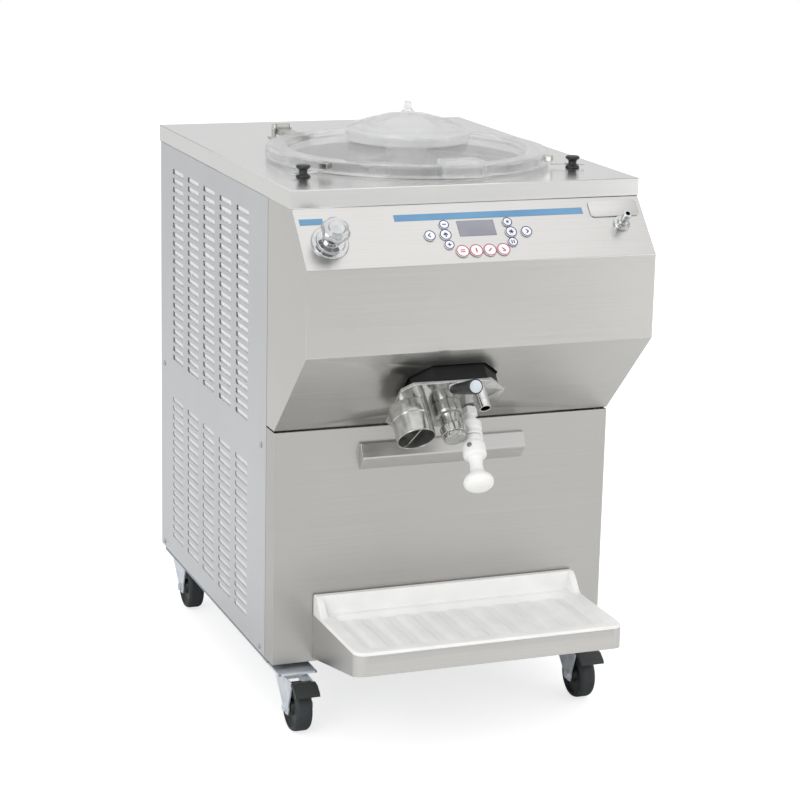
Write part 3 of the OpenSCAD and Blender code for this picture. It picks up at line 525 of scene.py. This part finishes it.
def printedMarks(name, centre, bars, material, body):
    # flat bars laid on a key's face, each one thin box
    corners = np.array([(x, y, z) for z in (0, 1) for x, y in ((-0.5, -0.5), (0.5, -0.5), (0.5, 0.5), (-0.5, 0.5))])
    box = np.array([(0, 3, 2, 1), (4, 5, 6, 7), (0, 1, 5, 4), (1, 2, 6, 5), (2, 3, 7, 6), (3, 0, 4, 7)])
    bars = np.array(bars, float)
    bars[:, 3] *= keyPrint["bold"]
    turn = np.radians(bars[:, 4])[:, None]
    lx, ly = corners[None, :, 0] * bars[:, 2:3], corners[None, :, 1] * bars[:, 3:4]
    x = bars[:, 0:1] + lx * np.cos(turn) - ly * np.sin(turn)
    y = bars[:, 1:2] + lx * np.sin(turn) + ly * np.cos(turn)
    h = corners[None, :, 2] * (keyPrint["rise"] + keyPrint["sink"]) - keyPrint["sink"] + 0 * x
    # each bar a little lower than the one before, so that crossing faces don't share a plane
    h = h - np.arange(len(bars))[:, None] * 0.01
    points = (np.array(centre) + x[..., None] * mm * np.array((1, 0, 0))
              + y[..., None] * mm * np.array(panelUp) + h[..., None] * mm * np.array(panelOut))
    faces = (box[None] + 8 * np.arange(len(bars))[:, None, None]).reshape(-1, 4)
    return buildMesh(name, points.reshape(-1, 3), faces, material, body, merge=1e-9)


def makeKeys():
    for number in range(1, 13):
        nodeName, body = f"key_{number}", f"key_{number}"
        centre, reach = endFace(nodeName, panelOut)
        ink = "crimson" if number > 8 else "navy"
        outer = reach / mm - 0.35
        inner = outer - keyPrint["ringWidth"]
        low, high = -keyPrint["sink"], keyPrint["rise"]
        loop = [(inner, low), (outer, low), (outer, high), (inner, high), (inner, low)]
        lathe(f"keyRing{number}", loop, centre, panelOut, ink, body, steps=48)
        printedMarks(f"keyMark{number}", centre, keyPrint["marks"][number], ink, body)
        bevelled(f"keyCap{number}", nodeName, 0.5, "key", body, segments=3)
    print("keys printed")


def roundPlate(name, centre, across, up, wide, high, corner, thick, material, body, replaced=()):
    # a flat plate with rounded corners and a broken top edge, standing on centre; metres
    turn = np.linspace(0, math.pi / 2, 9)
    rings = []
    for inset, lift in ((0, 0), (0, 0.75), (0.12, 0.94), (0.3, 1.0)):
        gone, outline = inset * thick, []
        for quarter, (sx, sy) in enumerate(((1, 1), (-1, 1), (-1, -1), (1, -1))):
            angle = turn + quarter * math.pi / 2
            u = sx * (wide / 2 - corner) + (corner - gone) * np.cos(angle)
            v = sy * (high / 2 - corner) + (corner - gone) * np.sin(angle)
            outline.append(np.outer(u, across) + np.outer(v, up) + np.array(across.cross(up)) * lift * thick)
        rings.append(np.concatenate(outline))
    cols = len(rings[0])
    grid = np.arange(4 * cols).reshape(4, cols)
    faces = [*gridFaces(4, cols, True), tuple(grid[0][::-1]), tuple(grid[-1])]
    return buildMesh(name, np.array(centre) + np.concatenate(rings), faces, material, body, replaced)


# Control panel trim: stripes, blank badge, display window
def makePanelTrim():
    bevelled("stripeFilm", "fascia_trim", 0.12, "blue", "cabinet", lambda middle: middle[0] < 0.215)
    work = looseParts("fascia_trim", lambda middle: middle[0] > 0.215)
    spots = np.array([vert.co for vert in work.verts])
    work.free()
    middle = Vector((spots.min(0) + spots.max(0)) / 2)
    height = np.ptp(spots @ np.array(panelUp))
    roundPlate("badgePlate", middle - panelOut * 1.1 * mm, Vector((1, 0, 0)), panelUp, np.ptp(spots[:, 0]), height,
               8 * mm, 2 * mm, "front", "cabinet", ["fascia_trim"])
    bevelled("displayWindow", "display_window", 0.25, "display", "cabinet")
    print("panel trim made")


# Chrome valve: mm profiles of (radius, height) from the panel's face
valve = {
    "flange": [(7.2, 0), (33, 0), (33, 2.2), (31.6, 4), (25.6, 4.4), (25, 7.4), (23.6, 8), (15.6, 8.4),
               (15, 9), (15, 17.4), (14.2, 18), (7.2, 18)],
    "knob": [(0, 0), (7, 0), (7, 19), (12.4, 19), (13, 20), (13, 25), (11.6, 27), (11.4, 29), (15, 30.2),
             (23, 32.5), (26, 37), (25.4, 42), (22, 45.4), (14.4, 46.6), (14, 48.6), (13, 49.2), (0, 49.4)],
    "spigot": [(4, -14), (6.4, -14), (6.4, 0), (15, 0), (15, 4), (14, 5), (10.4, 5.6), (10, 6.4), (10, 13),
               (9, 14), (6.5, 14.4), (6.5, 22), (7.9, 22.6), (6.6, 27), (7.9, 27.4), (8, 29), (8, 33), (7, 34), (4, 34), (4, -14)],
    "flutes": 6}


def makeValve():
    flangeTop, _ = endFace("valve_flange", panelOut)
    seat = flangeTop - panelOut * 18 * mm
    lathe("valveFlange", softened(valve["flange"] + [valve["flange"][0]], 0.6), seat, panelOut, "chrome",
          "cabinet", ["valve_flange"])

    def fluted(angle, height):  # finger flutes in the cap only
        fade = np.clip((height - 30) / 5, 0, 1) * np.clip((46.4 - height) / 3, 0, 1)
        return 1 - 0.09 * fade * (0.5 + 0.5 * np.cos(valve["flutes"] * angle)) ** 2

    lathe("valveKnob", softened(valve["knob"], 1.6, 5), seat, panelOut, "chrome", "valve_knob", ["valve_knob"],
          steps=120, wobble=fluted)
    spigotTop, _ = endFace("hose_spigot", panelOut)
    lathe("hoseSpigot", softened(valve["spigot"], 0.5), spigotTop - panelOut * 34 * mm, panelOut, "chrome",
          "cabinet", ["hose_spigot"])
    print("valve and hose fitting made")


# Tap: mm profiles of (radius, height) from the polished plate's face
tap = {
    "spout": [(32.5, 0), (35.5, 0), (35.5, 25), (34.8, 26.4), (34.5, 27), (34.5, 63), (34, 64), (33, 64), (32.5, 63), (32.5, 0)],
    "barrel": [(0, 0), (26, 0), (26, 20), (24.4, 24), (19, 25), (18.4, 27), (18, 30), (18, 44.4), (21.4, 45),
               (22.5, 46.6), (22.5, 61), (21.6, 62), (0, 62)],
    "cap": [(0, 0), (19.5, 0), (20.5, 1), (20.5, 7), (18.6, 9), (0, 9)],
    "guide": [(8.1, 16.4), (11.4, 16.4), (10.5, 18), (10.5, 29), (13, 30), (17.6, 30.6), (18.5, 33), (18.5, 46),
              (17.2, 47), (16.4, 48.4), (16.4, 52), (17.4, 53.4), (18.5, 54), (18.5, 58.6), (17, 60), (8.1, 60), (8.1, 16.4)],
    "plunger": [(0, -2), (8, -2), (8, 60), (8, 61), (17, 61.2), (18.4, 63), (18.6, 74), (20.4, 78), (20.8, 97),
                (19.8, 100.4), (13.6, 103.4), (12.2, 108), (11.4, 118), (12.4, 129), (16, 135), (23, 141), (26.4, 147), (27, 151), (25.4, 157),
                (20, 161.6), (12, 164.4), (0, 165.2)],
    "hex": {"radius": 15, "low": 2.5, "high": 16.5}}


def makeTap():
    plateTop, _ = endFace("tap_plate", tapOut)
    bevelled("tapPlate", "tap_plate", 0.9, "polished", "cabinet", segments=3)
    bevelled("tapNeck", "tap_neck", 1.2, "neck", "cabinet", segments=3)
    spoutEnd, _ = endFace("spout", tapOut)
    spoutRoot = spoutEnd - tapOut * 64 * mm
    lathe("spoutTube", softened(tap["spout"], 0.5), spoutRoot, tapOut, "satin", "cabinet", ["spout"], steps=96)
    slope = (Vector((0.2, 0, 0)) + Vector((0, -0.69, 0.69))).normalized()
    bar = [spoutRoot + tapOut * 57 * mm + slope * reach * mm for reach in np.linspace(-33, 33, 5)]
    rod("spoutBar", bar, 1.3 * mm, "satin", "cabinet")
    capTop, _ = endFace("tap_cap", tapOut)
    barrelRoot = capTop - tapOut * (62.1 + 9) * mm

    def castellated(angle, height):  # eight notches round the ring nut's top
        notch = np.clip((np.cos(8 * angle) - 0.35) * 6, 0, 1)
        return 1 - 0.14 * notch * ((height > 50) & (height < 61.6))

    lathe("tapBarrel", softened(tap["barrel"], 0.6), barrelRoot, tapOut, "satin", "cabinet", ["tap_cylinder"],
          steps=144, wobble=castellated, smoothAngle=28)

    def serrated(angle, height):  # fine grip teeth on the cap's rim
        return 1 - 0.05 * (0.5 + 0.5 * np.cos(18 * angle)) * (height > 0.5) * (height < 8.6)

    lathe("tapCap", softened(tap["cap"], 0.4), barrelRoot + tapOut * 62.1 * mm, tapOut, "satin", "cabinet",
          ["tap_cap"], steps=144, wobble=serrated)
    makePlunger()
    makeLever(plateTop)
    print("tap made")


joints = {joint["name"]: joint for joint in frame["joints"]}


def makePlunger():
    axis = Vector(joints["plunger_pull"]["axis"]).normalized()
    knobTop, _ = endFace("plunger", axis)
    root = knobTop - axis * 165 * mm
    lathe("plungerBody", softened(tap["plunger"], 1.4, 5), root, axis, "white", "plunger", ["plunger"], steps=96)
    lathe("plungerGuide", softened(tap["guide"], 0.8), root, axis, "white", "cabinet", ["plunger_guide"], steps=96)
    hexSize = tap["hex"]
    turns = np.arange(6) * math.pi / 3

    def sixSided(angle, height):  # radius of a hexagon by angle, with its corners a little rounded
        nearest = np.abs(((angle - turns[0] + math.pi / 6) % (math.pi / 3)) - math.pi / 6)
        return np.minimum(math.cos(math.pi / 6) / np.cos(math.pi / 6 - nearest), 0.985)

    low, high, wide = hexSize["low"], hexSize["high"], hexSize["radius"]
    lathe("plungerNut", [(8.2, low), (wide - 1, low), (wide, low + 0.8), (wide, high - 0.8), (wide - 1, high),
                         (8.2, high), (8.2, low)], root, axis, "white", "cabinet", steps=144, wobble=sixSided,
          smoothAngle=20)
    # Socket screw that locks the handle to its stem
    side = Vector((-0.66, -0.55, 0.5))
    side = (side - side.dot(axis) * axis).normalized()
    lathe("handleScrew", [(0, -1), (4.8, -1), (4.8, 1.4), (4.1, 2.2), (2.4, 2.2), (2.4, 0.2), (0, 0.2)],
          root + axis * 85 * mm + side * 20.4 * mm, side, "satin", "plunger", steps=32)


lever = {"lean": 61.5, "hub": [(0, 0.4), (9, 0.4), (9, 7.6), (8, 9.4), (0, 9.4)],
         "grip": [(0, 0.2), (7, 0.2), (8.2, 2), (8.8, 8), (11, 50), (13.2, 94), (13.6, 101), (12.8, 103.6), (11.3, 104),
                  (11.2, 102.8), (0, 102.8)],
         "disc": [(0, 0), (11, 0), (10.9, 0.5), (0, 0.7)]}


def makeLever(plateTop):
    lean = math.radians(lever["lean"])
    gripAxis = (Vector((0, -1, 1)).normalized() * math.sin(lean) + tapOut * math.cos(lean)).normalized()
    pivot = Vector(joints["lever_turn"]["pos_m"])
    lathe("leverHub", softened(lever["hub"], 1.0), pivot, tapOut, "polished", "tap_lever", ["tap_lever"], steps=48)
    root = pivot + tapOut * 8.8 * mm
    lathe("leverGrip", softened(lever["grip"], 1.2), root, gripAxis, "black", "tap_lever", ["tap_lever"], steps=64)
    lathe("leverEndCap", lever["disc"], root + gripAxis * 102.9 * mm, gripAxis, "zinc", "tap_lever", steps=48)


# Lid: profiles of (radius, height) in mm, heights from the deck's top
lid = {
    "rim": [(219, 3), (261, 3), (261.5, 5), (261.5, 20), (258, 24.2), (252, 24.6), (226, 24.6), (221, 23), (219, 20), (219, 3)],
    "cone": [(218.9, 14), (218.9, 18), (206, 20), (103, 35), (103, 45), (102, 46), (100.6, 46), (100, 45),
             (100, 32), (205, 16.2), (212, 14), (218.9, 14)],
    "cover": [(0, 83), (40, 79.6), (80, 69), (104, 57.8), (111.6, 53), (112, 50), (112, 37), (112.6, 36.5), (114.4, 36.5), (115, 37),
              (115, 53.6), (114.4, 55.6), (104, 61.4), (80, 72), (40, 82.6), (12.8, 85.8), (12, 90), (8.6, 91.4), (7.6, 97),
              (8, 101), (6, 106), (2.4, 108), (0, 108)],
    "locator": [(99.2, 46.3), (103.8, 46.3), (103.8, 58), (99.2, 60), (99.2, 46.3)]}


def solidBlock(name, low, high, width, material, body, turn=0.0, about=(0, 0), replaced=()):
    # a moulded block with rounded edges; corners in metres, turned about an upright line
    low, high = np.array(low), np.array(high)
    corners = np.array([(x, y, z) for z in (0, 1) for x, y in ((0, 0), (1, 0), (1, 1), (0, 1))])
    points = low + corners * (high - low)
    faces = [(0, 3, 2, 1), (4, 5, 6, 7), (0, 1, 5, 4), (1, 2, 6, 5), (2, 3, 7, 6), (3, 0, 4, 7)]
    flat = points[:, :2] - about
    c, s = math.cos(turn), math.sin(turn)
    points[:, :2] = np.array(about) + np.stack([flat[:, 0] * c - flat[:, 1] * s, flat[:, 0] * s + flat[:, 1] * c], -1)
    piece = buildMesh(name, points, faces, material, body, replaced)
    bevel = piece.modifiers.new("edge", "BEVEL")
    bevel.width, bevel.segments, bevel.harden_normals = width * mm, 3, True
    return piece


# Blocks moulded onto the lid's rim, in mm: x, distance behind the middle of the rim, height above the deck
lidBlocks = {"gripFront": ((-29, -270, 4), (44, -246, 33.6)), "gripTop": ((-29, -246.2, 24.8), (44, -222, 33.6)),
             "arm": ((-13, 199, 9), (13, 304, 21)), "catch": ((-9, -9, 12), (9, 9, 22)), "catchAt": (213, -158, 36.6)}


def makeLidBlocks(middle):
    centre = np.array(middle)
    for name in ("gripFront", "gripTop"):
        low, high = (centre + np.array(corner) * mm for corner in lidBlocks[name])
        solidBlock("lid" + name[0].upper() + name[1:], low, high, 1.2, "clear", "lid")
    for side, label in ((-1, "Left"), (1, "Right")):
        shift = np.array((side * 145 * mm, 0, 0))
        low, high = (centre + shift + np.array(corner) * mm for corner in lidBlocks["arm"])
        solidBlock("lidArm" + label, low, high, 1.5, "satin", "lid")
        lathe("lidBoss" + label, softened([(4.2, -13), (9, -13), (9, 13), (4.2, 13), (4.2, -13)], 0.8),
              centre + shift + np.array((0, 304, 20)) * mm, (1, 0, 0), "satin", "lid", steps=48)
        out, back, turn = lidBlocks["catchAt"]
        spot = centre + np.array((side * out, back, 0)) * mm
        low, high = (spot + np.array(corner) * mm for corner in lidBlocks["catch"])
        solidBlock("lidCatch" + label, low, high, 1.2, "satin", "lid", -side * math.radians(turn), spot[:2])


def makeLid():
    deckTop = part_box("top_deck")[1].z
    coverLow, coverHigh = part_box("port_cover")
    middle = Vector(((coverLow.x + coverHigh.x) / 2, (coverLow.y + coverHigh.y) / 2, deckTop))
    lathe("lidRim", softened(lid["rim"], 1.2), middle, upright, "clear", "lid", ["lid_ring"], steps=160)
    makeLidBlocks(middle)
    lathe("lidCone", softened(lid["cone"], 2.0), middle, upright, "clearSheet", "lid", ["lid_cone"], steps=160)
    # The stirrer's crown, seen through the cone
    lathe("stirrerCrown", softened([(0, 3), (37, 3), (37, 21), (35.6, 22), (35.6, 27), (34, 29), (0, 30)], 0.8), middle,
          upright, "tank", "stirrer", steps=96)
    lathe("portCover", softened(lid["cover"], 2.5, 5), middle, upright, "clearCover", "port_cover", ["port_cover"],
          steps=128)
    lathe("coverLocator", lid["locator"], middle, upright, "clearCover", "port_cover", steps=96)
    print("lid made")


# Clamp: mushroom knob and its bent wire rod
clampKnob = [(0, 0.3), (13, 0.3), (12.6, 2.6), (8, 6.6), (7.4, 8), (7.4, 12), (8.4, 14), (12.6, 17), (13, 18.4),
             (12.6, 20.6), (10.6, 22), (0, 22.3)]


def makeClamps():
    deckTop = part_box("top_deck")[1].z
    for side, name in ((-1, "left_clamp"), (1, "right_clamp")):
        pivot = Vector(joints[name + "_turn"]["pos_m"])
        foot = Vector((pivot.x, pivot.y, deckTop))
        lathe(name + "Knob", softened(clampKnob, 1.2), foot, upright, "black", name, [name], steps=64,
              wobble=lambda angle, height: 1 - 0.03 * (0.5 + 0.5 * np.cos(12 * angle)) * (height > 15) * (height < 21))
        reach = np.linspace(-22, 40, 24)
        turn = math.radians(166.3)
        sag = 6 + 1.2 * np.sin(np.clip(reach / 40, 0, 1) * math.pi)
        path = np.stack([side * (reach * math.cos(turn)), reach * math.sin(turn), sag], -1) * mm + np.array(foot)
        rod(name + "Rod", path, 1.6 * mm, "polished", name, replaced=[name])
    print("clamps made")


# White tray insert: rim, sunk basin with rounded ribs, raised back edge with curved wings; mm, from the insert's own box
tray = {"corner": 20, "rim": 217, "basin": 205, "upstand": 250, "foot": 197.6, "ledge": 211.3, "edge": 3.2, "ribs": 9,
        "ribPitch": 48, "ribHeight": 6, "wing": 52, "wall": 14, "basinSide": 27, "basinFront": 22, "basinBack": 30}


def smooth(value, start, end):  # 0 at start, 1 at end, eased
    t = np.clip((value - start) / (end - start), 0, 1)
    return t * t * (3 - 2 * t)


def roundBox(x, y, halfX, halfY, radius):  # signed distance to a rounded rectangle, negative inside
    qx, qy = np.abs(x) - halfX + radius, np.abs(y) - halfY + radius
    return np.hypot(np.maximum(qx, 0), np.maximum(qy, 0)) + np.minimum(np.maximum(qx, qy), 0) - radius


def trayHeight(x, y, half, front, back):
    # distance in from the outline, with the front corners rounded
    far = half + 40
    inward = -roundBox(x, y - (front + far), half, far, tray["corner"])
    inward = np.minimum(inward, back - y)
    middle, deep = (front + tray["basinFront"] + back - tray["basinBack"]) / 2, back - front
    sunk = -roundBox(x, y - middle, half - tray["basinSide"], (deep - tray["basinFront"] - tray["basinBack"]) / 2, 12)
    basin = tray["rim"] - (tray["rim"] - tray["basin"]) * smooth(sunk, -1.5, 7)
    wave = 0.5 + 0.5 * np.cos(2 * math.pi * x / tray["ribPitch"])
    ribs = tray["ribHeight"] * smooth(wave, 0.12, 0.88) * smooth(sunk, 5, 16) * (np.abs(x) < tray["ribPitch"] * 4.5)
    rise = tray["upstand"] - tray["rim"]
    wall = rise * smooth(y, back - tray["wall"] - 7, back - tray["wall"])
    wings = rise * smooth(y, back - tray["wing"], back - 10) * smooth(np.abs(x), half - 17, half - 12)
    top = basin + ribs + np.maximum(wall, wings)
    gone = np.maximum(tray["edge"] - inward, 0)
    return top - (tray["edge"] - np.sqrt(np.maximum(tray["edge"] ** 2 - gone ** 2, 0))), inward


def makeTray():
    low, high = (np.array(corner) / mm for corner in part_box("tray_insert"))
    half, centre, front, back = (high[0] - low[0]) / 2, (high[0] + low[0]) / 2, low[1], high[1]
    ends = half - np.array([0, 0.15, 0.6, 1.3, 2.2, 3.2, 4.5, 6.5, 9, 11, 12, 13, 14, 15, 16, 17, 18.5, 20.5, 23])
    x = np.concatenate([-ends, np.linspace(-half + 24, half - 24, 301), ends[::-1]])
    across = np.concatenate([[0, 0.15, 0.6, 1.3, 2.2, 3.2, 5, 8, 12, 16, 20, 21, 22, 23, 24, 26, 28, 30, 33, 36, 40],
                             np.linspace(45, back - front - 62, 40),
                             back - front - np.array([56, 52, 49, 46, 43, 40, 37, 34, 31, 29, 27, 25, 23, 21, 20, 19, 18, 17, 16, 15,
                                                      14, 13, 11, 8, 5, 3.2, 2.2, 1.3, 0.6, 0.15, 0])])
    corner = tray["corner"]
    into = np.clip(np.abs(x) - half + corner, 0, corner)
    start = corner - np.sqrt(np.maximum(corner ** 2 - into ** 2, 0))
    deep = back - front
    y = front + start[:, None] + across[None, :] * (deep - start[:, None]) / deep
    xx = x[:, None] + 0 * y
    top, inward = trayHeight(xx, y, half, front, back)
    ledge = tray["ledge"] + 0 * y
    foot = ledge - (ledge - tray["foot"]) * smooth(inward, 2.6, 3.4)
    rows, cols = y.shape
    grid = np.arange(rows * cols).reshape(rows, cols)
    upper = np.stack([xx + centre, y, top], -1).reshape(-1, 3)
    lower = np.stack([xx + centre, y, foot], -1).reshape(-1, 3)
    faces = gridFaces(rows, cols)
    rim = np.concatenate([grid[:, 0], grid[-1, 1:], grid[-2::-1, -1], grid[0, -2:0:-1]])
    after = np.roll(rim, -1)
    wall = np.stack([rim, after, after + rows * cols, rim + rows * cols], -1)
    buildMesh("trayInsert", np.concatenate([upper, lower]) * mm,
              np.concatenate([faces, faces[:, ::-1] + rows * cols, wall]), "white", "tray_insert", ["tray_insert"],
              smoothAngle=50)
    print("tray insert made")


# Casters, mm: tread and hub profiles of (radius, offset along the axle)
caster = {"tread": [(35.6, -10), (36.4, -14.6), (38, -16), (41.6, -15.4), (44, -12.4), (45, -9), (45, 9), (44, 12.4),
                    (41.6, 15.4), (38, 16), (36.4, 14.6), (35.6, 10), (35.6, -10)],
          "hub": [(5.2, -17), (12.6, -17), (14.2, -15.6), (15.6, -10.6), (17, -9.6), (33, -9.6), (34.6, -10.6),
                  (35.9, -13), (35.9, 13), (34.6, 10.6), (33, 9.6), (17, 9.6), (15.6, 10.6), (14.2, 15.6), (12.6, 17),
                  (5.2, 17), (5.2, -17)]}


def makeCasterPlates():
    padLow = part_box("base_frame")[0].z
    for corner in ("front_left", "front_right", "rear_left", "rear_right"):
        pivot = Vector(joints[corner + "_swivel"]["pos_m"])
        seat = Vector((pivot.x, pivot.y, padLow - 0.2 * mm))
        roundPlate(corner + "Plate", seat, Vector((1, 0, 0)), Vector((0, 1, 0)), 73 * mm, 73 * mm, 7 * mm, 3.9 * mm,
                   "zinc", "cabinet")


def makeCasters():
    makeCasterPlates()
    for corner in ("front_left", "front_right", "rear_left", "rear_right"):
        body = corner + "_wheel"
        low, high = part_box(body)
        middle = (low + high) / 2
        lathe(corner + "Tread", softened(caster["tread"], 1.4), middle, (1, 0, 0), "rubber", body, [body], steps=128)
        lathe(corner + "Hub", softened(caster["hub"], 1.0), middle, (1, 0, 0), "black", body, steps=96)
        bevelled(corner + "Fork", corner + "_fork", 0.6, "zinc", corner + "_fork")
    for side in ("left", "right"):
        bevelled(side + "Pedal", side + "_brake_pedal", 0.9, "black", side + "_brake_pedal", segments=3)
    print("casters made")


# Folded sheet parts: node, edge radius and shortest edge to break in mm, finish
folded = [("topDeck", "top_deck", 1.2, 60, "deck"), ("frontShell", "front_shell", 1.0, 100, "front"),
          ("lowerPanel", "lower_front_panel", 1.2, 0, "lower"), ("bucketRail", "bucket_rail", 0.6, 0, "front"),
          ("shelf", "bucket_shelf", 0.5, 12, "front"), ("hinge", "lid_hinge", 0.5, 0, "polished"),
          ("screws", "panel_screws", 0.35, 0, "chrome"), ("baseFrame", "base_frame", 1.5, 0, "frame")]


def makeSheetParts():
    for name, nodeName, width, shortest, finish in folded:
        bevelled(name, nodeName, width, finish, "cabinet", segments=3, shortest=shortest)
    makeFilter()
    print("sheet parts made")


# Pleated air filter between the lower louvres and the condenser, mm
airFilter = {"pleat": 7, "depth": 0.8, "thick": 1.2, "gap": 0.5, "low": 158, "high": 470, "behind": 4}


def makeFilter():
    panelLow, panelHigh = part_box("left_side_panel")
    finLow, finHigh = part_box("condenser")
    outer = panelLow.x / mm + 1.5 + airFilter["gap"]
    y = np.arange(finLow.y / mm + airFilter["behind"], finHigh.y / mm - airFilter["behind"], airFilter["pleat"] / 6)
    wave = airFilter["depth"] * (0.5 - 0.5 * np.cos(2 * math.pi * y / airFilter["pleat"]))
    rows = [(outer + wave, airFilter["low"]), (outer + wave, airFilter["high"]),
            (outer + wave + airFilter["thick"], airFilter["high"]), (outer + wave + airFilter["thick"], airFilter["low"])]
    points = np.stack([np.stack([x, y, 0 * y + z], -1) for x, z in rows], 1).reshape(-1, 3) * mm
    last = 4 * len(y) - 4
    faces = [*gridFaces(len(y), 4, True), (3, 2, 1, 0), (last, last + 1, last + 2, last + 3)]
    buildMesh("airFilter", points, faces, "filter", "cabinet")


makeSheetParts()
makePanelTrim()
makeKeys()
makeValve()
makeTap()
makeTray()
makeLid()
makeClamps()
makeCasters()
